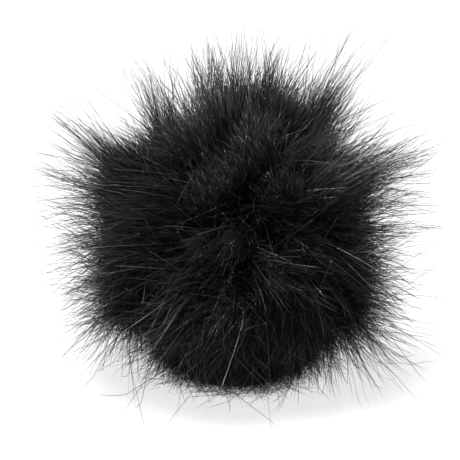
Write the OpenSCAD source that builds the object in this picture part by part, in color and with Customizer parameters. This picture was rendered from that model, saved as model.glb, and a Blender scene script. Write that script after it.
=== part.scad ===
// Furry ball windscreen for a small microphone.
// A two-part lattice basket, lined with foam and skinned with mesh, carries a slip-on
// fur cover. The ball stands on the rubber lip of its microphone sleeve.
// Origin: centre of the lip's foot. +Z runs up the microphone's axis.

/* [Microphone] */
// Diameter of the microphone body that the sleeve grips
mic_d = 20; // [19:0.5:21]
// Length of the bore along the microphone
grip_length = 20; // [16:1:20]

/* [Basket] */
// Height of the ball's centre above the foot
ball_height = 42; // [42:0.5:44]
// Radius of the hollow inside the foam
core_radius = 20.5; // [20:0.1:20.6]
// Thickness of the foam lining
foam_thickness = 3; // [2:0.5:3]
// Thickness of the lattice
cage_thickness = 1.8; // [1.4:0.1:1.9]
// Number of ribs round each half
rib_count = 16; // [12:4:20]
// Width of a rib
rib_width = 1.4; // [1:0.1:2]
// Length of the spigot that joins the two halves
spigot_length = 3; // [2:0.5:4]
// Thickness of the mesh skin
mesh_thickness = 0.5; // [0.3:0.1:0.5]

/* [Collar] */
// Wall of the rubber sleeve
sleeve_wall = 2.15; // [1.5:0.05:2.2]
// Radius of the lip that the ball stands on
lip_radius = 15.2; // [14.8:0.1:16]
// Thickness of the lip
lip_height = 2; // [1.5:0.5:2.5]
// Outer radius of the collar's tube
collar_radius = 14.2; // [14:0.1:14.3]
// Outer radius of the flange under the cage
flange_radius = 18; // [17.8:0.1:18]
// Distance of the screws from the axis
screw_circle = 16; // [15.8:0.1:16.1]

/* [Fur cover] */
// Thickness of the knitted backing
backing_thickness = 1; // [0.6:0.1:1]
// Radius of the ball of dense pile
pile_radius = 52; // [46:1:56]
// Height of the lower edge of the backing
skirt_bottom = 8.9; // [8.8:0.1:9.5]
// Distance between two stitches
stitch_pitch = 4; // [3:0.5:6]

/* [Hidden] */
$fn = 96;
reach = 120;                       // longer than the object in any direction
gap = 0.05;                        // clearance between fitted pieces
thread_r = 0.2;
stitch_length = 2;

bore_r = mic_d / 2;
sleeve_r = bore_r + sleeve_wall;
collar_bore_r = sleeve_r + gap;

foam_r = core_radius + foam_thickness;
cage_in = foam_r + 0.1;
cage_out = cage_in + cage_thickness;
mesh_in = cage_out + gap;
mesh_out = mesh_in + mesh_thickness;
tape_in = mesh_out + 0.02;
tape_out = tape_in + 0.35;
tape_width = 2.9;

cage_bottom = ball_height - 18;    // underside of the cage's foot ring
foot_ring_top = cage_bottom + 1.6;
foot_ring_in = 13.9;
foot_ring_out = 18.6;
lining_bottom = foot_ring_top + 0.1;
rim_height = 2;
spigot_r = cage_in + 0.8;
ring_angle = 20;                   // between two of the cage's rings
ring_width = 1.4;
pole_ring_r = 5;

flange_bottom = cage_bottom - 2.5;
groove_depth = 0.8;
groove_bottom = 4;
groove_top = 9.2;
boss_r = 1.8;
boss_height = 4.5;
screw_r = 1;
screw_hole_r = screw_r + gap;
screw_length = 5.5;
screw_head_r = 1.7;
screw_head_height = 1.3;
hex_r = 0.9;

plug_r = 2.4;
plug_head_r = 4;
plug_length = 2.4;

backing_in = mesh_out + 0.55;
backing_out = backing_in + backing_thickness;
thread_path = backing_out + 0.3;
pile_in = backing_out + 0.6;
neck_top = cage_bottom;            // the skirt leaves the ball near this height
neck_join = neck_top + 3;          // the neck's cone runs on to here, inside the ball
skirt_hem_in = 15.4;
pile_neck_r = 17.6;
pile_bottom = 0.4;
backing_seam = 0.6;                // space between two backing panels
pile_seam = 1.2;                   // space between two tracts of pile

hem_path = 15.25;
hem_height = 6.6;
hem_r = 1.75;
channel_r = 1.3;
elastic_r = 1.2;

// Radius at height z of a ball of radius r round the ball's centre
function ball_slice(r, z) = sqrt(r * r - pow(z - ball_height, 2));

// Radius at height z of the neck's outer face
function neck_slice(z) =
    let (low = skirt_hem_in + backing_thickness, high = ball_slice(backing_out, neck_top))
    low + (high - low) * (z - skirt_bottom) / (neck_join - skirt_bottom);

// A hollow ball
module shell(r_in, r_out) {
    translate([0, 0, ball_height]) difference() {
        sphere(r = r_out);
        sphere(r = r_in);
    }
}

// The stretch of its children between two heights
module between(z_low, z_high) {
    intersection() {
        children();
        translate([0, 0, z_low]) cylinder(r = reach / 2, h = z_high - z_low);
    }
}

// One quarter of its children, parted from the next by a seam
module quarter(index, seam) {
    intersection() {
        children();
        rotate([0, 0, 90 * index]) translate([seam / 2, seam / 2, 0]) cube([reach, reach, reach]);
    }
}

// Its children at each of the four screws
module at_screws() {
    for (i = [0 : 3]) rotate([0, 0, 45 + 90 * i]) translate([screw_circle, 0, 0]) children();
}

// Ribs and level rings that cut a shell into a lattice
module lattice(angles) {
    for (i = [0 : rib_count / 2 - 1]) {
        rotate([0, 0, 360 * i / rib_count])
            translate([-reach / 2, -rib_width / 2, 0]) cube([reach, rib_width, reach]);
    }
    for (a = angles) {
        translate([0, 0, ball_height + (cage_in + cage_out) / 2 * sin(a) - ring_width / 2])
            cylinder(r = reach / 2, h = ring_width);
    }
}

// Half outline of the ball with the neck that runs in to the hem
module skirt_outline(r_ball, r_hem, z_hem) {
    difference() {
        union() {
            translate([0, ball_height]) circle(r = r_ball);
            polygon([[0, z_hem], [r_hem, z_hem], [ball_slice(r_ball, neck_top), neck_join],
                     [0, neck_join]]);
        }
        translate([-reach, -reach / 2]) square([reach, 2 * reach]);
    }
}

// --- Basket, rear half ---

module grip_sleeve() {
    color("#202124") difference() {
        union() {
            cylinder(r = sleeve_r, h = grip_length);
            cylinder(r = lip_radius, h = lip_height);
        }
        translate([0, 0, -1]) cylinder(r = bore_r, h = grip_length + 2);
    }
}

module neck_collar() {
    color("#17181a") difference() {
        union() {
            translate([0, 0, lip_height]) cylinder(r = collar_radius, h = cage_bottom - lip_height);
            translate([0, 0, flange_bottom]) cylinder(r = flange_radius, h = cage_bottom - flange_bottom);
        }
        cylinder(r = collar_bore_r, h = reach);
        translate([0, 0, groove_bottom]) difference() {
            cylinder(r = reach, h = groove_top - groove_bottom);
            cylinder(r = collar_radius - groove_depth, h = groove_top - groove_bottom);
        }
        at_screws() cylinder(r = screw_hole_r, h = reach);
    }
}

module flange_screws() {
    color("#9a9ca0") at_screws() {
        translate([0, 0, flange_bottom]) cylinder(r = screw_r, h = screw_length);
        translate([0, 0, flange_bottom - screw_head_height]) difference() {
            cylinder(r = screw_head_r, h = screw_head_height);
            translate([0, 0, -1]) cylinder(r = hex_r, h = 1 + screw_head_height / 2, $fn = 6);
        }
    }
}

module rear_cage() {
    color("#151617") difference() {
        union() {
            intersection() {
                between(cage_bottom, ball_height - gap) shell(cage_in, cage_out);
                union() {
                    lattice([-ring_angle]);
                    translate([0, 0, ball_height - rim_height]) cylinder(r = reach / 2, h = rim_height);
                }
            }
            translate([0, 0, ball_height - rim_height]) difference() {
                cylinder(r = spigot_r, h = rim_height + spigot_length);
                translate([0, 0, -1]) cylinder(r = cage_in, h = reach);
            }
            translate([0, 0, cage_bottom]) difference() {
                cylinder(r = foot_ring_out, h = foot_ring_top - cage_bottom);
                translate([0, 0, -1]) cylinder(r = foot_ring_in, h = reach);
            }
            at_screws() translate([0, 0, cage_bottom]) cylinder(r = boss_r, h = boss_height);
        }
        at_screws() cylinder(r = screw_hole_r, h = cage_bottom + boss_height - 0.5);
    }
}

module rear_foam() {
    color("#3a3c3f") difference() {
        between(lining_bottom, ball_height - gap) shell(core_radius, foam_r);
        at_screws() cylinder(r = boss_r + 0.2, h = cage_bottom + boss_height + 0.5);
    }
}

module rear_mesh() {
    color("#232427") between(lining_bottom, ball_height - gap) shell(mesh_in, mesh_out);
}

module rear_rim_tape() {
    color("#101112") between(ball_height - tape_width - gap, ball_height - gap)
        shell(tape_in, tape_out);
}

// --- Basket, front half ---

module front_cage() {
    color("#151617") difference() {
        intersection() {
            between(ball_height + gap, reach) shell(cage_in, cage_out);
            union() {
                lattice([ring_angle, 2 * ring_angle, 3 * ring_angle]);
                translate([0, 0, ball_height]) cylinder(r = reach / 2, h = spigot_length + 0.2);
                translate([0, 0, ball_height]) cylinder(r = pole_ring_r, h = reach);
            }
        }
        cylinder(r = spigot_r + gap, h = ball_height + spigot_length + 0.2);
        cylinder(r = plug_r + gap, h = reach);
    }
}

module front_foam() {
    color("#3a3c3f") between(ball_height + gap, reach) shell(core_radius, foam_r);
}

module front_mesh() {
    color("#232427") difference() {
        between(ball_height + gap, reach) shell(mesh_in, mesh_out);
        cylinder(r = plug_r + 0.1, h = reach);
    }
}

module front_rim_tape() {
    color("#101112") between(ball_height + gap, ball_height + tape_width + gap)
        shell(tape_in, tape_out);
}

module nose_plug() {
    color("#101112") union() {
        translate([0, 0, ball_height + tape_out - 0.1 - plug_length]) cylinder(r = plug_r, h = plug_length);
        intersection() {
            shell(tape_in, tape_out);
            translate([0, 0, ball_height]) cylinder(r = plug_head_r, h = reach);
        }
    }
}

// --- Fur cover ---

module crown_backing(index) {
    color("#141516") quarter(index, backing_seam)
        between(ball_height + backing_seam / 2, reach) shell(backing_in, backing_out);
}

module skirt_backing(index) {
    color("#141516") quarter(index, backing_seam)
        between(skirt_bottom, ball_height - backing_seam / 2) rotate_extrude() difference() {
            skirt_outline(backing_out, skirt_hem_in + backing_thickness, skirt_bottom);
            skirt_outline(backing_in, skirt_hem_in, skirt_bottom - 1);
        }
}

module crown_pile(index) {
    color("#0b0c0d") quarter(index, pile_seam)
        between(ball_height + pile_seam / 2, reach) shell(pile_in, pile_radius);
}

module skirt_pile(index) {
    color("#0b0c0d") quarter(index, pile_seam) rotate_extrude() difference() {
        intersection() {
            translate([0, ball_height]) circle(r = pile_radius);
            translate([0, pile_bottom]) square([reach, ball_height - pile_seam / 2 - pile_bottom]);
        }
        skirt_outline(pile_in, pile_neck_r, skirt_bottom);
        square([pile_neck_r, skirt_bottom]);
    }
}

// A stitch that lies level across a seam at azimuth 0
module level_stitch(r, z) {
    translate([r, stitch_length / 2, z]) rotate([90, 0, 0]) cylinder(r = thread_r, h = stitch_length);
}

module crown_seam() {
    step = stitch_pitch / thread_path * 180 / PI;
    color("#0d0d0e") for (i = [0 : 3]) rotate([0, 0, 90 * i]) {
        for (a = [step : step : 90 - 1.5 * step])
            level_stitch(thread_path * cos(a), ball_height + thread_path * sin(a));
    }
}

module girth_seam() {
    count = 4 * floor(thread_path * PI / 2 / stitch_pitch);
    color("#0d0d0e") for (i = [0 : count - 1]) rotate([0, 0, 360 * (i + 0.5) / count])
        translate([thread_path, 0, ball_height - stitch_length / 2])
            cylinder(r = thread_r, h = stitch_length);
}

module skirt_seam() {
    step = stitch_pitch / thread_path * 180 / PI;
    lowest = asin((ball_height - neck_top) / thread_path);
    color("#0d0d0e") for (i = [0 : 3]) rotate([0, 0, 90 * i]) {
        for (a = [step : step : lowest])
            level_stitch(thread_path * cos(a), ball_height - thread_path * sin(a));
        for (z = [skirt_bottom + 1 : stitch_pitch : neck_top - 1])
            level_stitch(neck_slice(z) + 0.35, z);
    }
}

module hem_binding() {
    color("#0f1011") rotate_extrude() translate([hem_path, hem_height]) difference() {
        circle(r = hem_r);
        circle(r = channel_r);
    }
}

module hem_elastic() {
    color("#2b2c2e") rotate_extrude() translate([hem_path, hem_height]) circle(r = elastic_r);
}

module hem_stitches() {
    count = 4 * floor(hem_path * PI / 2 / stitch_pitch);
    color("#0d0d0e") for (i = [0 : count - 1]) rotate([0, 0, 360 * (i + 0.5) / count])
        level_stitch(hem_path, (hem_height + hem_r + skirt_bottom) / 2);
}

grip_sleeve();
neck_collar();
flange_screws();
rear_cage();
rear_foam();
rear_mesh();
rear_rim_tape();
front_cage();
front_foam();
front_mesh();
front_rim_tape();
nose_plug();
crown_backing(0);  // crown_backing_1
crown_backing(1);  // crown_backing_2
crown_backing(2);  // crown_backing_3
crown_backing(3);  // crown_backing_4
skirt_backing(0);  // skirt_backing_1
skirt_backing(1);  // skirt_backing_2
skirt_backing(2);  // skirt_backing_3
skirt_backing(3);  // skirt_backing_4
crown_pile(0);  // crown_pile_1
crown_pile(1);  // crown_pile_2
crown_pile(2);  // crown_pile_3
crown_pile(3);  // crown_pile_4
skirt_pile(0);  // skirt_pile_1
skirt_pile(1);  // skirt_pile_2
skirt_pile(2);  // skirt_pile_3
skirt_pile(3);  // skirt_pile_4
crown_seam();
girth_seam();
skirt_seam();
hem_binding();
hem_elastic();
hem_stitches();
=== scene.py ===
"""Looks of the furry ball windscreen: strand fur on a knitted cover, over a mesh-skinned basket."""

import math

import bmesh
import bpy
import numpy as np
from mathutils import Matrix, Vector, noise


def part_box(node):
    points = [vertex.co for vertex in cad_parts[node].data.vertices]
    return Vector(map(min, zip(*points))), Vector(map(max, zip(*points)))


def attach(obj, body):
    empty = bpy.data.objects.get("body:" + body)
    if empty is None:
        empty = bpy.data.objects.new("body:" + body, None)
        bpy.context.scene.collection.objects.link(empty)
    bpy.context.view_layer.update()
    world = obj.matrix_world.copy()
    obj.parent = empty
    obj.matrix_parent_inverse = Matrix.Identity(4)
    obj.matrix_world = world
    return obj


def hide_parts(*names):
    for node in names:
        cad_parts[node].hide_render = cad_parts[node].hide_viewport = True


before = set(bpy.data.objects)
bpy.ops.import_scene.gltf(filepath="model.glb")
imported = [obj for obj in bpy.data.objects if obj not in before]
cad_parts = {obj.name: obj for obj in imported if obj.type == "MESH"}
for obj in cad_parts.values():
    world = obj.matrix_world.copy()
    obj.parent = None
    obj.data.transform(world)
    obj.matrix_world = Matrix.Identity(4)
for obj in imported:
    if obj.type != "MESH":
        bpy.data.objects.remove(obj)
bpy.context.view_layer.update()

MM = 0.001
PANELS = range(4)

# ------------------------------------------------------------
# Places and sizes, from the frame
# ------------------------------------------------------------

BALL_Z = (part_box("rear_rim_tape")[0].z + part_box("front_rim_tape")[1].z) / 2
BALL = np.array([0.0, 0.0, BALL_Z])
BACKING_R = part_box("crown_backing_1")[1].x          # outer face of the knitted backing
GIRTH_MM = 2 * math.pi * BACKING_R / MM
SKIRT_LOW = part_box("skirt_backing_1")[0].z          # lower edge of the backing
NECK_TOP_Z = BALL_Z - 18.8 * MM                     # the ball's surface meets the neck's cone
NECK_TOP_R = math.sqrt(BACKING_R**2 - (BALL_Z - NECK_TOP_Z) ** 2)
NECK_LOW_R = 16.4 * MM                              # outer face of the backing at its lower edge
HAIR_ROOM = np.array([64.6, 64.6, 64.0]) * MM       # furthest that a hair's tip is from the centre


def unit(v):
    """v scaled to length 1, along its last axis."""
    return v / np.maximum(np.linalg.norm(v, axis=-1, keepdims=True), 1e-12)


# ------------------------------------------------------------
# Camera
# ------------------------------------------------------------

CAMERA_ELEVATION = math.radians(17)
CAMERA_DISTANCE = 0.75
VIEW_WIDTH = 0.138                                  # width of the view at the ball
VIEW_SHIFT = (-1.8 * MM, 2.4 * MM)                  # of the view's middle from the ball's: right, up
VIEW_RIGHT = np.array([1.0, 0.0, 0.0])
VIEW_UP = np.array([0.0, math.sin(CAMERA_ELEVATION), math.cos(CAMERA_ELEVATION)])
TO_CAMERA = np.array([0.0, -math.cos(CAMERA_ELEVATION), math.sin(CAMERA_ELEVATION)])


def make_camera():
    data = bpy.data.cameras.new("camera")
    data.sensor_width = 36
    data.lens = data.sensor_width * CAMERA_DISTANCE / VIEW_WIDTH
    data.clip_start = 0.01
    camera = bpy.data.objects.new("camera", data)
    right, up = VIEW_SHIFT
    aim = BALL + right * VIEW_RIGHT + up * VIEW_UP
    camera.location = Vector(aim + CAMERA_DISTANCE * TO_CAMERA)
    camera.rotation_euler = Vector(-TO_CAMERA).to_track_quat("-Z", "Y").to_euler()
    bpy.context.scene.collection.objects.link(camera)
    bpy.context.scene.camera = camera


make_camera()

# ------------------------------------------------------------
# Materials
# ------------------------------------------------------------


def grey(value):
    return (value, value, value)


class Nodes:
    """Short calls for building one material's node tree."""

    def __init__(self, name):
        self.material = bpy.data.materials.new(name)
        self.material.use_nodes = True
        self.tree = self.material.node_tree
        self.shader = self.tree.nodes["Principled BSDF"]

    def add(self, kind, **values):
        node = self.tree.nodes.new(kind)
        for name, value in values.items():
            if name in node.inputs:
                node.inputs[name].default_value = value
            else:
                setattr(node, name, value)
        return node

    def link(self, source, target):
        self.tree.links.new(source, target)

    def ramp(self, factor, *stops):
        """A colour ramp; a stop is (place, (r, g, b))."""
        node = self.add("ShaderNodeValToRGB")
        elements = node.color_ramp.elements
        while len(elements) < len(stops):
            elements.new(0.5)
        for element, (place, colour) in zip(elements, stops):
            element.position = place
            element.color = (*colour, 1)
        self.link(factor, node.inputs["Fac"])
        return node.outputs["Color"]

    def set(self, **values):
        for name, value in values.items():
            self.shader.inputs[name.replace("_", " ")].default_value = value

    def math(self, operation, first, second=0.0):
        node = self.add("ShaderNodeMath", operation=operation)
        for socket, value in zip(node.inputs, (first, second)):
            if isinstance(value, (int, float)):
                socket.default_value = value
            else:
                self.link(value, socket)
        return node.outputs[0]

    def place(self):
        """The point's place in the part's own frame, in metres."""
        return self.add("ShaderNodeTexCoord").outputs["Object"]

    def polar(self, radius):
        """How far a point lies round the axis and up from the ball's middle, measured in mm
        along a ball of this radius."""
        split = self.add("ShaderNodeSeparateXYZ")
        self.link(self.place(), split.inputs["Vector"])
        x, y, z = split.outputs
        around = self.math("MULTIPLY", self.math("ARCTAN2", y, x), radius / MM)
        rise = self.math("DIVIDE", self.math("SUBTRACT", z, BALL_Z), radius)
        within = self.math("MAXIMUM", self.math("MINIMUM", rise, 1.0), -1.0)
        return around, self.math("MULTIPLY", self.math("ARCSINE", within), radius / MM)

    def wave(self, distance, period):
        """A ridge, from 0 to 1, every period along this distance."""
        turns = self.math("SINE", self.math("MULTIPLY", distance, 2 * math.pi / period))
        return self.math("ADD", self.math("MULTIPLY", turns, 0.5), 0.5)

    def noise(self, vector, scale, detail):
        node = self.add("ShaderNodeTexNoise", Scale=scale, Detail=detail)
        self.link(vector, node.inputs["Vector"])
        return node.outputs["Fac"]

    def span(self, value, low, high, to_low, to_high):
        """value, moved from one range to another."""
        node = self.add("ShaderNodeMapRange")
        self.link(value, node.inputs["Value"])
        for name, end in zip(("From Min", "From Max", "To Min", "To Max"), (low, high, to_low, to_high)):
            node.inputs[name].default_value = end
        return node.outputs["Result"]

    def bump(self, height, strength, depth):
        """Relief this many mm deep."""
        node = self.add("ShaderNodeBump", Strength=strength, Distance=depth * MM)
        self.link(height, node.inputs["Height"])
        self.link(node.outputs["Normal"], self.shader.inputs["Normal"])


def fur_fibre(name, deep, tip, gloss, roughness):
    """Black acrylic fibre: darkest from the root to its middle, then paler and a little browner towards
    the tip, which is painted translucency, light shining through the thin tips; some fibres are paler
    and glossier than the rest."""
    n = Nodes(name)
    uv = n.add("ShaderNodeUVMap", uv_map="OFBake")
    split = n.add("ShaderNodeSeparateXYZ")
    n.link(uv.outputs["UV"], split.inputs["Vector"])
    # the paler, browner tip colour is painted translucency: light shining through the thin tips
    along = n.ramp(split.outputs["Y"], (0.0, deep), (0.5, deep), (1.0, tip))
    tone = n.ramp(split.outputs["X"], (0.0, (0.4, 0.42, 0.45)), (0.55, grey(1)), (1.0, (4.6, 4.5, 4.4)))
    mix = n.add("ShaderNodeMix", data_type="RGBA", blend_type="MULTIPLY")
    mix.inputs["Factor"].default_value = 1
    n.link(along, mix.inputs[6])
    n.link(tone, mix.inputs[7])
    n.link(mix.outputs[2], n.shader.inputs["Base Color"])
    dull, middling = grey(0.04 * gloss), grey(0.15 * gloss)
    shine = n.ramp(split.outputs["X"], (0.0, dull), (0.5, middling), (0.85, grey(gloss)))
    n.link(shine, n.shader.inputs["Specular IOR Level"])
    n.set(Roughness=roughness, IOR=1.48)
    return n.material


def rubber_material():
    """Matt black moulded rubber with a faint bloom."""
    n = Nodes("sleeve_rubber")
    place = n.place()
    bloom = n.noise(place, 260, 4)
    n.link(n.ramp(bloom, (0.35, grey(0.010)), (0.75, grey(0.022))), n.shader.inputs["Base Color"])
    n.link(n.span(bloom, 0.3, 0.7, 0.62, 0.8), n.shader.inputs["Roughness"])
    n.bump(n.noise(place, 2600, 2), 0.35, 0.05)
    return n.material


def plastic_material(name, base, scuffed):
    """Black moulded plastic: spark-eroded grain, with paler scuffs where it is handled."""
    n = Nodes(name)
    place = n.place()
    scuff = n.noise(place, 140, 6)
    dark = (base, base * 1.04, base * 1.1)
    n.link(n.ramp(scuff, (0.55, dark), (0.8, grey(scuffed))), n.shader.inputs["Base Color"])
    n.link(n.span(scuff, 0.4, 0.8, 0.42, 0.62), n.shader.inputs["Roughness"])
    grain = n.add("ShaderNodeTexVoronoi", Scale=4200, feature="F1")
    n.link(place, grain.inputs["Vector"])
    n.bump(grain.outputs["Distance"], 0.3, 0.04)
    return n.material


def screw_material():
    """Zinc-plated steel, turned: fine rings round each screw's head."""
    n = Nodes("screw_zinc")
    place = n.place()
    stretched = n.add("ShaderNodeMapping")
    n.link(place, stretched.inputs["Vector"])
    stretched.inputs["Scale"].default_value = (1, 1, 14)
    grain = n.noise(stretched.outputs["Vector"], 900, 3)
    zinc = n.ramp(grain, (0.3, (0.42, 0.42, 0.44)), (0.7, (0.62, 0.62, 0.63)))
    n.link(zinc, n.shader.inputs["Base Color"])
    n.link(n.span(grain, 0.3, 0.7, 0.24, 0.4), n.shader.inputs["Roughness"])
    n.set(Metallic=1.0)
    n.bump(grain, 0.15, 0.03)
    return n.material


def foam_material():
    """Charcoal open-cell foam: pale cell walls, darkening into the pores, which is painted shade in the
    hollows of the cells.
    """
    n = Nodes("open_cell_foam")
    place = n.place()
    cells = n.add("ShaderNodeTexVoronoi", Scale=1500, feature="DISTANCE_TO_EDGE")
    n.link(place, cells.inputs["Vector"])
    walls = cells.outputs["Distance"]
    # the colour darkens from the cell walls into the pores: painted shade in the hollows of the cells
    wall, rim, pore_shade = (0.075, 0.078, 0.082), (0.045, 0.047, 0.05), (0.012, 0.0125, 0.013)
    n.link(n.ramp(walls, (0.0, wall), (0.12, rim), (0.4, pore_shade)), n.shader.inputs["Base Color"])
    n.set(Roughness=0.95)
    n.shader.inputs["Specular IOR Level"].default_value = 0.2
    n.bump(n.math("SUBTRACT", 1.0, walls), 0.8, 0.25)
    return n.material


def net_material():
    """Black polyester net thread, slightly fuzzy, with a dull shine."""
    n = Nodes("net_thread")
    fuzz = n.noise(n.place(), 5200, 3)
    thread = n.ramp(fuzz, (0.3, (0.013, 0.0135, 0.0145)), (0.7, (0.034, 0.035, 0.037)))
    n.link(thread, n.shader.inputs["Base Color"])
    n.link(n.span(fuzz, 0.3, 0.7, 0.45, 0.6), n.shader.inputs["Roughness"])
    n.bump(fuzz, 0.4, 0.03)
    return n.material


def tape_material(name, threads):
    """Woven tape: warp threads across it and weft threads along it."""
    n = Nodes(name)
    around, up = n.polar(BACKING_R)
    weft = n.wave(around, GIRTH_MM / threads)
    warp = n.wave(up, 0.32)
    weave = n.math("MULTIPLY", weft, warp)
    # darker where the weave is low: painted shade in the gaps between the threads
    cloth_and_gap_shade = n.ramp(weave, (0.1, grey(0.005)), (0.9, (0.018, 0.0185, 0.020)))
    n.link(cloth_and_gap_shade, n.shader.inputs["Base Color"])
    n.set(Roughness=0.72, Sheen_Weight=0.25, Sheen_Roughness=0.5)
    n.bump(weave, 0.7, 0.08)
    return n.material


def knit_material():
    """Black warp-knitted backing: columns of V-shaped stitches."""
    n = Nodes("knitted_backing")
    around, up = n.polar(BACKING_R)
    column = n.math("FRACT", n.math("DIVIDE", around, GIRTH_MM / 160))
    lean = n.math("ABSOLUTE", n.math("SUBTRACT", column, 0.5))
    course = n.wave(n.math("ADD", up, n.math("MULTIPLY", lean, 0.9)), 0.8)
    leg = n.math("SINE", n.math("MULTIPLY", lean, 2 * math.pi))
    stitch = n.math("MULTIPLY", n.math("ADD", course, 0.25), leg)
    # darker where the stitch is low, between legs and courses: painted shade in the gaps of the knit
    cloth_and_gap_shade = n.ramp(stitch, (0.05, grey(0.004)), (0.9, (0.03, 0.0305, 0.032)))
    n.link(cloth_and_gap_shade, n.shader.inputs["Base Color"])
    n.set(Roughness=0.85, Sheen_Weight=0.3, Sheen_Roughness=0.4)
    n.bump(stitch, 0.9, 0.22)
    return n.material


def thread_material():
    """Two-ply sewing thread: a diagonal twist."""
    n = Nodes("sewing_thread")
    place = n.place()
    split = n.add("ShaderNodeSeparateXYZ")
    n.link(place, split.inputs["Vector"])
    x, y, z = split.outputs
    sum_mm = n.math("DIVIDE", n.math("ADD", n.math("ADD", x, y), z), MM)
    twist = n.wave(sum_mm, 0.34)
    # darker in the groove of the twist: painted shade
    n.link(n.ramp(twist, (0.1, grey(0.006)), (0.9, grey(0.03))), n.shader.inputs["Base Color"])
    n.set(Roughness=0.5)
    n.bump(twist, 0.6, 0.05)
    return n.material


def twill_material():
    """Folded cotton tape: diagonal twill ribs."""
    n = Nodes("twill_tape")
    around, up = n.polar(BACKING_R)
    rib = n.wave(n.math("ADD", around, n.math("MULTIPLY", up, 0.8)), GIRTH_MM / 240)
    cross = n.wave(up, 0.35)
    weave = n.math("MULTIPLY", rib, n.math("ADD", n.math("MULTIPLY", cross, 0.4), 0.6))
    # darker where the weave is low, between the ribs: painted shade in the gaps of the twill
    cloth_and_gap_shade = n.ramp(weave, (0.1, grey(0.005)), (0.9, (0.024, 0.0245, 0.026)))
    n.link(cloth_and_gap_shade, n.shader.inputs["Base Color"])
    n.set(Roughness=0.8, Sheen_Weight=0.3)
    n.bump(weave, 0.7, 0.1)
    return n.material


def elastic_material():
    """Braided round elastic: two crossing sets of ribs."""
    n = Nodes("braided_elastic")
    around, up = n.polar(BACKING_R)
    step = GIRTH_MM / 200
    right = n.wave(n.math("ADD", around, n.math("MULTIPLY", up, 1.4)), step)
    left = n.wave(n.math("SUBTRACT", around, n.math("MULTIPLY", up, 1.4)), step)
    braid = n.math("MAXIMUM", right, left)
    # darker between the crossing ribs: painted shade in the gaps of the braid
    n.link(n.ramp(braid, (0.2, grey(0.012)), (0.9, (0.06, 0.06, 0.062))), n.shader.inputs["Base Color"])
    n.set(Roughness=0.7)
    n.bump(braid, 0.7, 0.1)
    return n.material


def repaint(material, *nodes):
    """Gives CAD nodes this material."""
    for name in nodes:
        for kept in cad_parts[name].material_slots:
            kept.material = material


def paint_frame():
    repaint(rubber_material(), "grip_sleeve")
    repaint(plastic_material("cage_plastic", 0.010, 0.035), "rear_cage", "front_cage", "nose_plug")
    repaint(plastic_material("collar_plastic", 0.011, 0.035), "neck_collar")
    repaint(screw_material(), "flange_screws")
    repaint(thread_material(), "crown_seam", "girth_seam", "skirt_seam", "hem_stitches")
    repaint(elastic_material(), "hem_elastic")


# ------------------------------------------------------------
# Locks: the fur's flow
# ------------------------------------------------------------


def seen(angle, toward=0.0):
    """The direction from the ball's centre that the front view shows at this clock angle, in
    degrees anticlockwise from the right, turned towards the viewer by the second angle."""
    a, b = math.radians(angle), math.radians(toward)
    flat = math.cos(a) * VIEW_RIGHT + math.sin(a) * VIEW_UP
    return math.cos(b) * flat + math.sin(b) * TO_CAMERA


# Locks that make the outline: clock angle and turn to the viewer of the root, clock angle of
# the tip, reach of the dense hair and of the longest hair from the ball's centre in mm, and
# how tightly the lock closes.
OUTLINE_LOCKS = (
    (150, 8, 146, 54, 74, 0.8),
    (139, -5, 137, 40, 52, 0.4),
    (128, 5, 120, 44, 66, 0.85),
    (114, -6, 113, 35, 58, 0.3),
    (103, 4, 101, 38, 62, 0.5),
    (91, -3, 89, 46, 66, 0.7),
    (78, 5, 79, 53, 64, 0.75),
    (67, -4, 67, 43, 66, 0.3),
    (56, 4, 57, 53, 76, 0.7),
    (43, -6, 42, 42, 60, 0.4),
    (36, 5, 35, 43, 62, 0.5),
    (26, -3, 25, 49, 74, 0.85),
    (13, 6, 14, 39, 68, 0.5),
    (3, 8, 4, 42, 66, 0.8),
    (-7, -5, -7, 40, 56, 0.3),
    (-15, 4, -15, 46, 62, 0.4),
    (-27, -4, -26, 49, 68, 0.5),
    (-38, 6, -37, 60, 76, 0.8),
    (-52, -6, -55, 42, 54, 0.3),
    (-66, 5, -66, 42, 52, 0.4),
    (-84, 0, -84, 45, 50, 0.5),
    (-102, 5, -102, 40, 50, 0.4),
    (-118, -4, -119, 39, 55, 0.4),
    (-133, 5, -135, 39, 62, 0.5),
    (-146, 0, -150, 53, 70, 0.65),
    (-159, 6, -160, 47, 62, 0.5),
    (-171, -5, -172, 40, 60, 0.4),
    (179, 5, 178, 40, 60, 0.45),
    (168, -4, 169, 40, 62, 0.4),
    (159, 4, 160, 46, 70, 0.6),
)
OUTLINE_KEEP_OFF = math.cos(math.radians(9))        # how near other locks come to these
OUTLINE_BAND = 24                                   # degrees either side of the outline

# The other locks, which chance places; the reaches are in mm.
LOCK_COUNT = 150
LOCK_DENSE = (44, 1.9)                              # mean and spread of the dense hair's reach
LOCK_DENSE_LIMITS = (39, 49)
LOCK_LONGEST = (3, 20)                              # how much further the longest hair reaches
LOCK_TIGHTNESS = (0.15, 0.62)
LOCK_TIP_SPREAD = 0.11                              # of a lock's tip, as a share of the reach
# Beside the outline the reach is the outline's own there, plus this mean and spread.
BESIDE_DENSE = (-0.8, 1.2)
BESIDE_LONGEST = (-3, 4)

# Hair is longest in the middle of its lock, and shorter off it by the square of how far off.
LOCK_BLUR = 0.03                                    # how far hair strays over its lock's edge
LOCK_MIDDLE = 1.03                                  # share of the reach in the middle
LOCK_POINTED = 11                                   # how fast it shortens, in the tightest lock
LOCK_EDGE = 0.16                                    # how far off it stops shortening

# The clumps that divide every lock.
CLUMP_COUNT = 1500
CLUMP_LEAN = 0.06                                   # spread of the tips, as a share of the reach
CLUMP_SCALE = (0.075, 0.83, 1.17)                   # spread, least and most of the share of length

# Where the fur is parted, and how far the hair sweeps away from there.
PARTINGS = (
    (seen(52, 74), 0.5),
    (seen(150, -72), 0.5),
)


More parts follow.
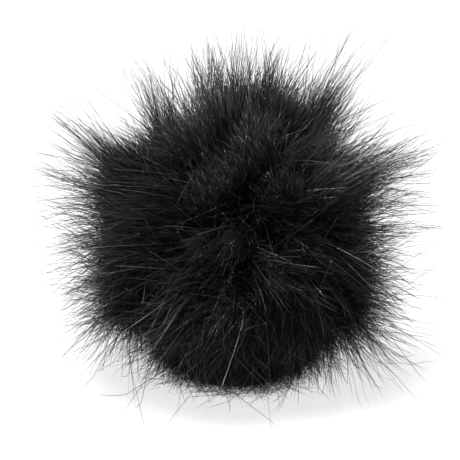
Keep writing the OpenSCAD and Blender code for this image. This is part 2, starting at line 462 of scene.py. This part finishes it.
def swept(directions):
    """Directions of hair that stands at these directions from the ball's centre, as it sweeps
    away from the partings."""
    moved = directions.copy()
    for parting, strength in PARTINGS:
        facing = directions @ parting
        away = directions - facing[:, None] * parting
        risen = np.clip(0.6 + 0.6 * directions[:, 2:], 0.25, 1)
        moved += strength * risen * np.clip(facing + 0.25, 0, 1)[:, None] * away
    return unit(moved)


def outline_share(directions):
    """How near each direction is to the outline, from 1 on it to 0, and its clock angle."""
    clock = np.degrees(np.arctan2(directions @ VIEW_UP, directions @ VIEW_RIGHT))
    turn = np.degrees(np.arcsin(np.clip(directions @ TO_CAMERA, -1, 1)))
    return np.clip(1.7 - np.abs(turn) / OUTLINE_BAND, 0, 1), clock


def spread_evenly(count):
    """count directions spread evenly over a sphere."""
    i = np.arange(count) + 0.5
    z = 1 - 2 * i / count
    turn = i * math.pi * (3 - math.sqrt(5))
    flat = np.sqrt(1 - z**2)
    return np.stack([flat * np.cos(turn), flat * np.sin(turn), z], axis=1)


def nearest(centres, directions, batch=8000):
    """Index of the centre nearest each direction, worked out a batch at a time."""
    found = [
        (directions[start : start + batch] @ centres.T).argmax(axis=1)
        for start in range(0, len(directions), batch)
    ]
    return np.concatenate(found)


class Locks:
    """Every lock's root direction, tip direction, reaches in metres and tightness, and the
    small clumps that divide the locks."""

    def __init__(self, seed):
        rng = np.random.default_rng(seed)
        placed = np.array([seen(root, turn) for root, turn, *_ in OUTLINE_LOCKS])
        placed_tip = np.array([seen(tip, turn) for _, turn, tip, *_ in OUTLINE_LOCKS])
        placed_rest = np.array([row[3:] for row in OUTLINE_LOCKS])
        loose = unit(spread_evenly(LOCK_COUNT) + rng.normal(0, 0.05, (LOCK_COUNT, 3)))
        loose = loose[(loose @ placed.T).max(axis=1) < OUTLINE_KEEP_OFF]
        count = len(loose)
        share, clock = outline_share(loose)
        rows = np.array(sorted((row[0] % 360, row[3], row[4]) for row in OUTLINE_LOCKS))
        edge = np.interp(clock % 360, rows[:, 0], rows[:, 1], period=360)
        edge_longest = np.interp(clock % 360, rows[:, 0], rows[:, 2], period=360)
        dense = np.clip(rng.normal(*LOCK_DENSE, count), *LOCK_DENSE_LIMITS)
        longest = dense + rng.uniform(*LOCK_LONGEST, count)
        dense += share * (edge + rng.normal(*BESIDE_DENSE, count) - dense)
        longest += share * (edge_longest + rng.normal(*BESIDE_LONGEST, count) - longest)
        tight = rng.uniform(*LOCK_TIGHTNESS, count)
        loose_tip = unit(swept(loose) + rng.normal(0, LOCK_TIP_SPREAD, (count, 3)))
        self.root = np.concatenate([placed, loose])
        self.tip = np.concatenate([placed_tip, loose_tip])
        self.dense = np.concatenate([placed_rest[:, 0], dense]) * MM
        self.longest = np.concatenate([placed_rest[:, 1], longest]) * MM
        self.tight = np.concatenate([placed_rest[:, 2], tight])
        self.clump = unit(spread_evenly(CLUMP_COUNT) + rng.normal(0, 0.02, (CLUMP_COUNT, 3)))
        self.clump_lean = rng.normal(0, CLUMP_LEAN, (CLUMP_COUNT, 3))
        spread, least, most = CLUMP_SCALE
        self.clump_scale = np.clip(rng.normal(1, spread, CLUMP_COUNT), least, most)


LOCKS = Locks(seed=11)

# ------------------------------------------------------------
# Fur strands
# ------------------------------------------------------------


class Layer:
    """One kind of hair: how many, how long, how thick and how straight."""

    def __init__(self, name, count, rings, radius, reach, clump, scatter, bend, fibre, tufted=False):
        self.name = name
        self.count = count              # strands on one panel
        self.rings = rings              # rings of a strand below its tip
        self.radius = radius            # at the root
        self.reach = reach              # function of (random numbers, dense, longest) to metres
        self.clump = clump              # how far a strand leans to its clump's tip
        self.scatter = scatter          # random lean of the tip
        self.bend = bend                # sideways bow, as a share of the length
        self.fibre = fibre
        self.tufted = tufted            # grows only in the middle of tight locks


NECK_SHARE = 0.36                                   # of a skirt panel's hair
NECK_DIP = (45, 72)                                 # degrees that it points down: top, hem
FOOT_CLEAR_R = 17.3 * MM                            # of hair tips beside the hem and the foot
FOOT_RAGGED = (8, 60)                               # how unevenly, in mm: each hair, each clump
LOW_HAIR = (0.45, 0.62, 0.84, 0.95), (1, 0.91, 0.92, 1.2)   # downward lean, share of the reach
RUFFLED = (-0.25, 0.45), (1, 2.68)                  # downward lean, how much more the tips scatter
TUFT_HALF = 0.10                                    # half width of a tuft's roots, over the radius
TUFT_TIGHTNESS = (0.36, 0.76)                       # of locks with no tuft and with a full one
TUFT_TRIES = 4                                      # roots tried for each hair of a tuft
ROOT_GAP = 0.3 * MM                                 # from the backing's edge to the lowest roots
ROOT_LIFT = 0.36                                    # share of its length that a hair stands upright
NECK_LIFT = 0.24                                    # the same, on the neck
BEND_PLACE = 0.66                                   # of a hair's second bend, as a share of its length
BEND_LIFT = 0.05                                    # how far it lifts the hair there
SAG = 0.9                                           # drop of a level hair's tip, over its length squared
FLOOR_LIE = (0.25 * MM, 0.5 * MM)                   # lowest that hair lies, and how much that varies
FLOOR_SOFT = 0.6 * MM                               # how high over that it starts to bend
THINNED = 0.35                                      # share of its radius that a hair loses to its tip
GIRTH_SPREAD = (0.75, 1.2)                          # least and most of a layer's radius
TONE_SHAPE = (1.6, 2.6)                             # of the beta spread of tones: mostly dark
TONE_WIDTH = 0.02                                   # of one hair's strip on the tone map


def root_places(rng, count, crown):
    """count points on a quarter of the cover's backing: place, outward normal, the direction
    from the ball's centre in which the hair stands, and whether it grows on the neck."""
    turn = rng.uniform(0, math.pi / 2, count)
    lowest = 0 if crown else (NECK_TOP_Z - BALL_Z) / BACKING_R
    up = rng.uniform(0, 1, count) if crown else rng.uniform(lowest, 0, count)
    on_neck = np.zeros(count, bool) if crown else rng.uniform(0, 1, count) < NECK_SHARE
    flat = np.sqrt(1 - up**2)
    radial = np.stack([flat * np.cos(turn), flat * np.sin(turn), up], axis=1)
    place = BALL + BACKING_R * radial
    normal = radial.copy()
    stand = radial.copy()
    down = rng.uniform(0, 1, count)
    neck_r = NECK_TOP_R + (NECK_LOW_R - NECK_TOP_R) * down
    neck_z = NECK_TOP_Z + (SKIRT_LOW + ROOT_GAP - NECK_TOP_Z) * down
    neck_place = np.stack([neck_r * np.cos(turn), neck_r * np.sin(turn), neck_z], axis=1)
    neck_normal = unit(np.stack([np.cos(turn), np.sin(turn), -0.2 + 0 * turn], axis=1))
    dip = np.radians(NECK_DIP[0] + (NECK_DIP[1] - NECK_DIP[0]) * down)
    level = np.cos(dip)
    neck_stand = np.stack([level * np.cos(turn), level * np.sin(turn), -np.sin(dip)], axis=1)
    place[on_neck] = neck_place[on_neck]
    normal[on_neck] = neck_normal[on_neck]
    stand[on_neck] = neck_stand[on_neck]
    return place, normal, stand, on_neck


def in_tufts(rng, stand):
    """Indices of the hairs that stand near the middle of a tightly closed lock."""
    lock = nearest(LOCKS.root, stand)
    off = np.linalg.norm(stand - LOCKS.root[lock], axis=1)
    chance = np.interp(LOCKS.tight[lock], TUFT_TIGHTNESS, (0, 1)) * np.exp(-((off / TUFT_HALF) ** 2))
    return np.flatnonzero(rng.uniform(0, 1, len(stand)) < chance)


def clear_of_foot(rng, tip, tuft):
    """Tips of the neck's hair, moved out where they would meet the hem or the foot; tuft, a
    random vector for each clump, parts them unevenly."""
    r = np.linalg.norm(tip[:, :2], axis=1)
    by_hair, by_clump = FOOT_RAGGED
    ragged = by_hair * rng.uniform(0, 1, len(tip)) ** 3 + by_clump * np.abs(tuft[:, 1])
    grown = np.maximum(r, FOOT_CLEAR_R + ragged * MM) / r
    return tip * np.stack([grown, grown, np.ones(len(tip))], axis=1)


def strand_tips(rng, layer, stand, on_neck):
    """Each strand's tip, and the tip's direction from the ball's centre before the foot moves
    it."""
    count = len(stand)
    lock = nearest(LOCKS.root, unit(stand + rng.normal(0, LOCK_BLUR, (count, 3))))
    clump = nearest(LOCKS.clump, stand)
    tight = LOCKS.tight[lock][:, None]
    if layer.tufted:
        tight = 0.5 + 0.5 * tight
    lean = LOCKS.tip[lock] - LOCKS.root[lock]
    own = unit(stand + lean - tight * (stand - LOCKS.root[lock]))
    centre = LOCKS.clump[clump]
    scatter = np.interp(-stand[:, 2:], *RUFFLED) * rng.normal(0, layer.scatter, (count, 3))
    shared = unit(centre + lean - tight * (centre - LOCKS.root[lock]) + LOCKS.clump_lean[clump])
    tip_way = unit(own + (shared - own) * layer.clump + scatter)
    off = np.linalg.norm(stand - LOCKS.root[lock], axis=1)
    pointed = LOCK_MIDDLE - LOCK_POINTED * LOCKS.tight[lock] * np.minimum(off, LOCK_EDGE) ** 2
    dense = LOCKS.dense[lock] * LOCKS.clump_scale[clump] * pointed
    longest = np.maximum(LOCKS.longest[lock], dense)
    reach = layer.reach(rng.uniform(0, 1, count), dense, longest)
    reach *= np.interp(-stand[:, 2], *LOW_HAIR)
    reach = np.minimum(reach, (HAIR_ROOM / np.maximum(np.abs(tip_way), 0.01)).min(axis=1))
    tip = BALL + tip_way * reach[:, None]
    tip[on_neck] = clear_of_foot(rng, tip[on_neck], LOCKS.clump_lean[clump[on_neck]])
    return tip, tip_way


def strand_points(rng, layer, place, normal, stand, on_neck):
    """Points along each strand, (strands, rings + 1, 3), from its root to its tip."""
    count = len(place)
    tip, tip_way = strand_tips(rng, layer, stand, on_neck)
    span = np.linalg.norm(tip - place, axis=1, keepdims=True)
    side = unit(np.cross(tip - place, rng.normal(0, 1, (count, 3))))
    bow = side * span * rng.normal(0, layer.bend, (count, 1))
    lift = np.where(on_neck, NECK_LIFT, ROOT_LIFT)[:, None]
    first = place + normal * span * lift
    second = place + (tip - place) * BEND_PLACE + normal * span * BEND_LIFT + bow
    t = np.linspace(0, 1, layer.rings + 1)[None, :, None]
    points = (
        (1 - t) ** 3 * place[:, None]
        + 3 * (1 - t) ** 2 * t * first[:, None]
        + 3 * (1 - t) * t**2 * second[:, None]
        + t**3 * tip[:, None]
    )
    sideways = np.linalg.norm(tip_way[:, :2], axis=1)[:, None]
    points[:, :, 2] -= SAG * (t[:, :, 0] * span) ** 2 * sideways
    lowest, varies = FLOOR_LIE
    floor = lowest + varies * rng.uniform(0, 1, count)[:, None]
    return keep_above(points, floor)


def keep_above(points, floor):
    """Hair that would go under the floor lies on it instead."""
    height = points[:, :, 2] - floor
    points[:, :, 2] = floor + 0.5 * (height + np.sqrt(height**2 + FLOOR_SOFT**2))
    return points


def tube_vertices(points, radius):
    """Each strand's vertices: three round every ring, then the one at its tip."""
    count, rings = points.shape[0], points.shape[1] - 1
    along = unit(np.gradient(points, axis=1))
    not_along = along[:, 0][:, [1, 2, 0]] + 0.31
    aside = unit(np.cross(along[:, 0], not_along))
    side = unit(np.cross(along, aside[:, None]))
    other = np.cross(along, side)
    t = np.linspace(0, 1, rings + 1)[:rings]
    girth = radius[:, None] * (1 - THINNED * t[None] ** 2)
    corner = np.radians([0.0, 120.0, 240.0])[:, None]
    outward = np.cos(corner) * side[:, :rings, None] + np.sin(corner) * other[:, :rings, None]
    ring = points[:, :rings, None] + girth[:, :, None, None] * outward
    return np.concatenate([ring.reshape(count, rings * 3, 3), points[:, rings:]], axis=1)


def tube_mesh(name, points, radius, tone):
    """Three-sided tubes that taper to a point, one for each row of points."""
    vertices = tube_vertices(points, radius)
    count, per_strand = vertices.shape[:2]
    faces, sizes, shares = strand_faces(points.shape[1] - 1)
    loops = (faces[None] + per_strand * np.arange(count)[:, None]).ravel()
    mesh = bpy.data.meshes.new(name)
    mesh.vertices.add(count * per_strand)
    mesh.vertices.foreach_set("co", vertices.ravel().astype(np.float32))
    mesh.loops.add(len(loops))
    mesh.loops.foreach_set("vertex_index", loops.astype(np.int32))
    totals = np.tile(sizes, count)
    starts = np.concatenate([[0], np.cumsum(totals)[:-1]])
    mesh.polygons.add(len(totals))
    mesh.polygons.foreach_set("loop_start", starts.astype(np.int32))
    mesh.polygons.foreach_set("use_smooth", np.ones(len(totals), bool))
    mesh.update(calc_edges=True)
    layer = mesh.uv_layers.new(name="OFBake")
    u = tone[:, None] + shares[None, :, 0] * TONE_WIDTH
    v = np.broadcast_to(shares[None, :, 1], u.shape)
    layer.data.foreach_set("uv", np.stack([u, v], axis=-1).ravel().astype(np.float32))
    return mesh


def strand_faces(rings):
    """One strand's face corners, the number of corners of each face, and each corner's
    (share round the tube, share along it)."""
    faces, sizes, shares = [], [], []
    for ring in range(rings - 1):
        for k in range(3):
            after = (k + 1) % 3
            low, high = ring * 3, ring * 3 + 3
            faces += [low + k, low + after, high + after, high + k]
            sizes.append(4)
            shares += [(0, ring), (1, ring), (1, ring + 1), (0, ring + 1)]
    top = (rings - 1) * 3
    for k in range(3):
        faces += [top + k, top + (k + 1) % 3, rings * 3]
        sizes.append(3)
        shares += [(0, rings - 1), (1, rings - 1), (0.5, rings)]
    faces += [2, 1, 0]
    sizes.append(3)
    shares += [(0, 0), (1, 0), (0.5, 0.1)]
    shares = np.array(shares, float)
    shares[:, 1] /= rings
    return np.array(faces), np.array(sizes), shares


def link(name, mesh, body, material):
    """A new piece of this mesh, which rides on a CAD body."""
    piece = bpy.data.objects.new(name, mesh)
    bpy.context.scene.collection.objects.link(piece)
    mesh.materials.append(material)
    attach(piece, body)
    return piece


def fur_piece(layer, tract, panel, seed):
    """The hair of one layer on one panel; tract is crown or skirt."""
    rng = np.random.default_rng(seed)
    tried = layer.count * TUFT_TRIES if layer.tufted else layer.count
    place, normal, stand, on_neck = root_places(rng, tried, tract == "crown")
    turn = np.radians(90 * panel)
    spin = np.array(
        [[np.cos(turn), -np.sin(turn), 0], [np.sin(turn), np.cos(turn), 0], [0, 0, 1]]
    )
    place, normal, stand = place @ spin.T, normal @ spin.T, stand @ spin.T
    if layer.tufted:
        kept = in_tufts(rng, stand)[: layer.count]
        place, normal, stand, on_neck = place[kept], normal[kept], stand[kept], on_neck[kept]
    points = strand_points(rng, layer, place, normal, stand, on_neck)
    radius = layer.radius * rng.uniform(*GIRTH_SPREAD, len(points))
    tone = rng.beta(*TONE_SHAPE, len(points)) * 0.97
    name = f"{tract}_{layer.name}_{panel + 1}"
    mesh = tube_mesh(name, points, radius, tone)
    return link(name, mesh, "fur_cover", layer.fibre)


def under_reach(u, dense, longest):
    return dense * (0.70 + 0.22 * u)


def pile_reach(u, dense, longest):
    return dense * (0.84 + 0.2 * u)


def guard_reach(u, dense, longest):
    return dense * 0.94 + (longest - dense * 0.94) * 0.9 * u**6


def wisp_reach(u, dense, longest):
    return dense + (longest - dense) * (0.3 + 0.75 * u)


def far_reach(u, dense, longest):
    return dense * (1.22 + 0.3 * u)


def tuft_reach(u, dense, longest):
    return dense * 0.92 + (longest - dense * 0.92) * u**1.5


def stray_reach(u, dense, longest):
    return dense * (0.93 + 0.15 * u)


def make_fur():
    # each fibre's second colour, its tip, is paler and browner: painted translucency, light shining
    # through the thin tips
    dark = fur_fibre("under_fibre", (0.0012, 0.0013, 0.0015), (0.004, 0.0039, 0.0038), 0.08, 0.5)
    pile = fur_fibre("pile_fibre", (0.0013, 0.0015, 0.0018), (0.0075, 0.0072, 0.0068), 0.12, 0.4)
    shiny = fur_fibre("guard_fibre", (0.0026, 0.0029, 0.0033), (0.016, 0.0152, 0.0144), 1.0, 0.3)
    # name, hairs on a panel, rings, radius, reach, lean to the clump, scatter, bend, fibre
    layers = (
        Layer("under", 7600, 3, 0.050 * MM, under_reach, 0.5, 0.08, 0.06, dark),
        Layer("dense", 7600, 4, 0.046 * MM, pile_reach, 0.34, 0.06, 0.04, pile),
        Layer("guard", 4800, 5, 0.057 * MM, guard_reach, 0.24, 0.08, 0.03, shiny),
        Layer("tuft", 1500, 7, 0.056 * MM, tuft_reach, 0.1, 0.035, 0.03, shiny, tufted=True),
        Layer("wisp", 380, 8, 0.088 * MM, wisp_reach, 0.2, 0.11, 0.03, shiny),
        Layer("far", 60, 9, 0.084 * MM, far_reach, 0.1, 0.13, 0.04, shiny),
        Layer("stray", 420, 7, 0.052 * MM, stray_reach, 0.0, 0.40, 0.08, shiny),
    )
    knit = knit_material()
    for t, tract in enumerate(("crown", "skirt")):
        for panel in PANELS:
            hair = [
                fur_piece(layer, tract, panel, seed=1000 * t + 100 * panel + k)
                for k, layer in enumerate(layers)
            ]
            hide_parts(f"{tract}_pile_{panel + 1}")
            knitted_panel(tract, panel, knit)


# ------------------------------------------------------------
# Closed sheets and shells
# ------------------------------------------------------------


def grid_shell(name, outer, inner, wrap):
    """A closed sheet between two grids of points, (rows, columns, 3); wrap joins the last
    column to the first."""
    rows, columns = outer.shape[:2]
    count = rows * columns
    index = np.arange(count).reshape(rows, columns)
    if wrap:
        index = np.concatenate([index, index[:, :1]], axis=1)
    low_left, low_right = index[:-1, :-1], index[:-1, 1:]
    top_left, top_right = index[1:, :-1], index[1:, 1:]
    front = np.stack([low_left, low_right, top_right, top_left], axis=-1).reshape(-1, 4)
    back = front[:, ::-1] + count
    rims = [(index[0, :-1], index[0, 1:]), (index[-1, 1:], index[-1, :-1])]
    if not wrap:
        rims += [(index[1:, 0], index[:-1, 0]), (index[:-1, -1], index[1:, -1])]
    sides = [np.stack([b, a, a + count, b + count], axis=-1) for a, b in rims]
    faces = np.concatenate([front, back, *sides])
    vertices = np.concatenate([outer.reshape(-1, 3), inner.reshape(-1, 3)])
    mesh = bpy.data.meshes.new(name)
    mesh.from_pydata(vertices.tolist(), [], faces.tolist())
    mesh.validate()
    mesh.polygons.foreach_set("use_smooth", np.ones(len(mesh.polygons), bool))
    return mesh


def on_ball(radius, turn, height):
    """Points of a ball round the ball's centre, at these azimuths and heights."""
    flat = np.sqrt(np.maximum(radius**2 - (height - BALL_Z) ** 2, 0))
    return np.stack([flat * np.cos(turn), flat * np.sin(turn), height + 0 * flat], axis=-1)


def bumps(points, size, seed):
    """Smooth noise from -1 to 1 at each point, of this grain."""
    shift = Vector((seed * 7.3, seed * 3.1, 0))
    flat = points.reshape(-1, 3) / size
    values = [noise.noise(Vector(p) + shift) for p in flat]
    return np.array(values).reshape(points.shape[:-1])


# ------------------------------------------------------------
# Basket: foam linings, mesh skins and rim tapes
# ------------------------------------------------------------

SCREW_CIRCLE = 16 * MM                              # distance of the screws from the axis
BOSS_CLEAR = 2.3 * MM                               # half width of the notch round a screw's boss
BOSS_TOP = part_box("rear_foam")[0].z + 3.6 * MM
FOAM_THICKNESS = 3 * MM
FOAM_TOP = 0.998                                    # how near the front lining comes to the pole
PIT_DEPTH = 0.42 * MM                               # of the pores that show on the foam's faces
PIT_SIZES = (0.55 * MM, 1.6 * MM)                   # fine and coarse grain of the pores
NET_THREAD = 0.155 * MM                             # radius
NET_SINK = 0.26 * MM                                # from the skin's outer face to its threads' middle
TAPE_RIBS = 240
RIB_DEPTH = 0.16 * MM


def foam_sides(node, columns=300, rows=64):
    """The outer and inner grid of a foam lining; the rear one is notched round the bosses."""
    low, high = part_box(node)
    turn = np.linspace(0, 2 * math.pi, columns, endpoint=False)[None, :]
    share = np.linspace(0, 1, rows)[:, None]
    radii = (high.x, high.x - FOAM_THICKNESS)
    if node == "rear_foam":
        aside = (np.mod(turn, math.pi / 2) - math.pi / 4) * SCREW_CIRCLE
        arch = np.sqrt(np.clip(1 - (aside / BOSS_CLEAR) ** 2, 0, 1))
        edge = low.z + (BOSS_TOP - low.z) * arch
        return [on_ball(r, turn, edge + (high.z - edge) * share) for r in radii]
    rise = math.pi / 2 * share * FOAM_TOP
    start = low.z - BALL_Z
    heights = [BALL_Z + start + (r - start) * np.sin(rise) + 0 * turn for r in radii]
    return [on_ball(r, turn, height) for r, height in zip(radii, heights)]


def pitted(side, way):
    """A face of the foam with its pores sunk in it, outwards if way is 1 and inwards if it is
    -1. The face's edges stay smooth."""
    fine, coarse = (bumps(side, size, seed) for size, seed in zip(PIT_SIZES, (1, 2)))
    pits = np.clip(fine + 0.5 * coarse, 0, 1)
    pits[0] = pits[-1] = 0
    return side + way * unit(side - BALL) * (PIT_DEPTH * pits)[..., None]


def foam_lining(name, node, body, material):
    """An open-cell foam shell with pitted faces."""
    outer, inner = foam_sides(node)
    mesh = grid_shell(name, pitted(outer, -1), pitted(inner, 1), wrap=True)
    piece = link(name, mesh, body, material)
    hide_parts(node)
    return piece


def net_bars(radius, z_low, z_high, pole_hole):
    """Ends of the bars of a six-sided net on a ball, (bars, 2, 3), between two heights."""
    ball = bmesh.new()
    bmesh.ops.create_icosphere(ball, subdivisions=6, radius=radius)
    bars = []
    for edge in ball.edges:
        ends = [face.calc_center_median().normalized() * radius for face in edge.link_faces]
        bars.append([tuple(end) for end in ends])
    ball.free()
    bars = np.array(bars) + [0, 0, BALL_Z]
    height = bars[:, :, 2]
    flat = np.linalg.norm(bars[:, :, :2], axis=2)
    kept = (height > z_low) & (height < z_high) & (flat > pole_hole)
    return bars[kept.all(axis=1)]


def mesh_skin(name, node, body, material, pole_hole):
    """A fine six-sided net of real threads, stretched over half of the cage."""
    low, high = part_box(node)
    radius = high.x - NET_SINK
    bars = net_bars(radius, low.z + NET_THREAD, high.z - NET_THREAD, pole_hole)
    way = unit(bars[:, 1] - bars[:, 0])
    out = unit(bars.mean(axis=1) - BALL)
    side = np.cross(way, out)
    rings = []
    for end in (0, 1):
        for a in (90, 210, 330):
            c, s = math.cos(math.radians(a)), math.sin(math.radians(a))
            overlap = (2 * end - 1) * 0.3 * NET_THREAD
            rings.append(bars[:, end] + way * overlap + NET_THREAD * (c * side + 0.75 * s * out))
    vertices = np.stack(rings, axis=1)
    first = 6 * np.arange(len(bars))[:, None, None]
    faces = (np.array([[0, 1, 4, 3], [1, 2, 5, 4], [2, 0, 3, 5]]) + first).reshape(-1, 4)
    caps = (np.array([[2, 1, 0], [3, 4, 5]]) + first).reshape(-1, 3)
    mesh = bpy.data.meshes.new(name)
    mesh.from_pydata(vertices.reshape(-1, 3).tolist(), [], faces.tolist() + caps.tolist())
    piece = link(name, mesh, body, material)
    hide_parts(node)
    return piece


def rim_band(name, node, body, material):
    """A woven tape round the girth: ribs across it, and both edges rolled."""
    low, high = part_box(node)
    turn = np.linspace(0, 2 * math.pi, 720, endpoint=False)[None, :]
    share = np.linspace(0, 1, 15)[:, None]
    height = low.z + (high.z - low.z) * share
    rib = 0.5 + 0.5 * np.cos(TAPE_RIBS * turn + 2.2 * math.pi * share)
    roll = np.clip(1 - np.minimum(share, 1 - share) / 0.12, 0, 1)
    face = high.x - RIB_DEPTH * (1 - rib) * (1 - roll) - 0.1 * MM * roll**2
    outer = on_ball(face, turn, height + 0 * turn)
    inner = on_ball(high.x - 0.33 * MM + 0 * turn, turn, height + 0 * turn)
    piece = link(name, grid_shell(name, outer, inner, wrap=True), body, material)
    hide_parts(node)
    return piece


def make_basket():
    foam, net, tape = foam_material(), net_material(), tape_material("rim_tape_weave", 900)
    for half, body, pole_hole in (("rear", "rear_basket", 0), ("front", "front_dome", 2.6 * MM)):
        foam_lining(f"{half}_lining", f"{half}_foam", body, foam)
        band = rim_band(f"{half}_tape", f"{half}_rim_tape", body, tape)
        mesh_skin(f"{half}_skin", f"{half}_mesh", body, net, pole_hole)


# ------------------------------------------------------------
# Fur cover: knitted panels and the gathered hem
# ------------------------------------------------------------

SEAM_HALF = 0.3 * MM                                # from a panel's edge to the seam's middle
KNIT_THICKNESS = 1 * MM
BALL_ROWS = 0.58                                    # share of a skirt panel's rows on the ball
CROWN_TOP = math.radians(88.2)                      # how near the crown's panels come to the pole
PUCKER_REACH = 1.1 * MM                             # how far from a seam the knit is drawn in
PUCKER_DEPTH = 0.14 * MM
RIPPLE_DEPTH = 0.05 * MM
PLEATS = 30                                         # round the hem
CHANNEL_R = 1.36 * MM                               # of the hem's channel for its elastic


def panel_sides(tract, panel, columns=90, rows=84):
    """The outer and inner grid of one knitted panel: drawn in a little at its seams."""
    across = np.linspace(0, 1, columns)[None, :]
    along = np.linspace(0, 1, rows)[:, None]
    sides = []
    for depth in (0, KNIT_THICKNESS):
        r_ball = BACKING_R - depth
        if tract == "crown":
            rise = CROWN_TOP * along
            height = BALL_Z + SEAM_HALF + (r_ball - SEAM_HALF) * np.sin(rise)
            flat = np.sqrt(r_ball**2 - (height - BALL_Z) ** 2)
        else:
            drop = along / BALL_ROWS
            joint_z, joint_r = NECK_TOP_Z, math.sqrt(r_ball**2 - (BALL_Z - NECK_TOP_Z) ** 2)
            angle = np.arcsin((BALL_Z - joint_z) / r_ball) * np.clip(drop, 0, 1)
            neck = np.clip((along - BALL_ROWS) / (1 - BALL_ROWS), 0, 1)
            height = BALL_Z - SEAM_HALF * (1 - np.clip(drop, 0, 1)) - r_ball * np.sin(angle)
            height = height + (SKIRT_LOW + 0.05 * MM - joint_z) * neck
            flat = r_ball * np.cos(angle) + (NECK_LOW_R - depth - joint_r) * neck
        edge = SEAM_HALF / np.maximum(flat, SEAM_HALF * 2)
        turn = edge + (math.pi / 2 - 2 * edge) * across + panel * math.pi / 2
        ease = np.minimum(across, 1 - across) * flat * math.pi / 2
        pucker = np.exp(-ease / PUCKER_REACH) * (0.6 + 0.4 * np.sin(along * rows * 0.9 + panel))
        ripple = RIPPLE_DEPTH * np.sin(9 * across + 5 * along + 2 * panel) * np.sin(along * math.pi)
        pucker *= PUCKER_DEPTH
        inward = -0.5 * (pucker + ripple) if depth else pucker
        flat = np.maximum(flat - inward, 0.02 * MM)
        sides.append(np.stack([flat * np.cos(turn), flat * np.sin(turn), height + 0 * turn], axis=-1))
    return sides


def knitted_panel(tract, panel, material):
    """One panel of knitted backing, which carries its own tract of hair."""
    name = f"{tract}_knit_{panel + 1}"
    outer, inner = panel_sides(tract, panel)
    if tract == "skirt":
        outer, inner = outer[::-1], inner[::-1]
    piece = link(name, grid_shell(name, outer, inner, wrap=False), "fur_cover", material)
    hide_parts(f"{tract}_backing_{panel + 1}")
    return piece


def closed_tube_faces(rows, columns):
    """Corners of the faces of a tube that joins its own end."""
    index = np.arange(rows * columns).reshape(rows, columns)
    index = np.concatenate([index, index[:1]], axis=0)
    index = np.concatenate([index, index[:, :1]], axis=1)
    quads = np.stack([index[:-1, :-1], index[:-1, 1:], index[1:, 1:], index[1:, :-1]], axis=-1)
    return quads.reshape(-1, 4)


def gathered_hem(material):
    """The folded tape of the mouth, gathered by the elastic in its channel: one closed tube
    inside another."""
    low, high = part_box("hem_binding")
    tube = (high.z - low.z) / 2
    ring = high.x - tube
    columns, rows = 480, 28
    turn = np.linspace(0, 2 * math.pi, columns, endpoint=False)[None, :]
    round_tube = np.linspace(0, 2 * math.pi, rows, endpoint=False)[:, None]
    pleat = np.cos(PLEATS * turn + 0.7 * np.sin(4 * turn) + 0.5 * np.sin(round_tube))
    sides = []
    for r, depth in ((tube - 0.13 * MM, 0.12 * MM), (CHANNEL_R, 0.03 * MM)):
        size = r + depth * pleat
        flat = ring + size * np.cos(round_tube)
        height = (low.z + high.z) / 2 + size * np.sin(round_tube)
        sides.append(np.stack([flat * np.cos(turn), flat * np.sin(turn), height], axis=-1))
    vertices = np.concatenate([side.reshape(-1, 3) for side in sides])
    quads = closed_tube_faces(rows, columns)
    faces = np.concatenate([quads, quads[:, ::-1] + rows * columns])
    mesh = bpy.data.meshes.new("gathered_hem")
    mesh.from_pydata(vertices.tolist(), [], faces.tolist())
    mesh.polygons.foreach_set("use_smooth", np.ones(len(mesh.polygons), bool))
    piece = link("gathered_hem", mesh, "fur_cover", material)
    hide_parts("hem_binding")
    return piece


make_basket()
make_fur()
gathered_hem(twill_material())
paint_frame()

# ------------------------------------------------------------
# Floor, world and lights
# ------------------------------------------------------------


def make_floor():
    size = 4.0
    mesh = bpy.data.meshes.new("floor")
    corners = [(-size, -size, 0), (size, -size, 0), (size, size, 0), (-size, size, 0)]
    mesh.from_pydata(corners, [], [(0, 1, 2, 3)])
    n = Nodes("floor_cloth")
    n.set(Base_Color=(0.09, 0.09, 0.091, 1), Roughness=0.9)
    n.set(Emission_Color=(0.99, 0.995, 1, 1), Emission_Strength=0.76)
    mesh.materials.append(n.material)
    floor = bpy.data.objects.new("floor", mesh)
    bpy.context.scene.collection.objects.link(floor)


def area_light(name, place, aim, size, power):
    data = bpy.data.lights.new(name, "AREA")
    data.shape = "DISK"
    data.size = size
    data.energy = power
    light = bpy.data.objects.new(name, data)
    light.location = place
    light.rotation_euler = (Vector(aim) - Vector(place)).to_track_quat("-Z", "Y").to_euler()
    bpy.context.scene.collection.objects.link(light)


def make_world():
    world = bpy.data.worlds.new("studio")
    world.use_nodes = True
    background = world.node_tree.nodes["Background"]
    background.inputs["Color"].default_value = (0.97, 0.985, 1.0, 1)
    background.inputs["Strength"].default_value = 1.0
    bpy.context.scene.world = world
    bpy.context.scene.view_settings.view_transform = "Standard"


make_floor()
make_world()
area_light("top_softbox", place=(-0.2, -0.05, 1.1), aim=(0, 0, 0.04), size=0.5, power=55)
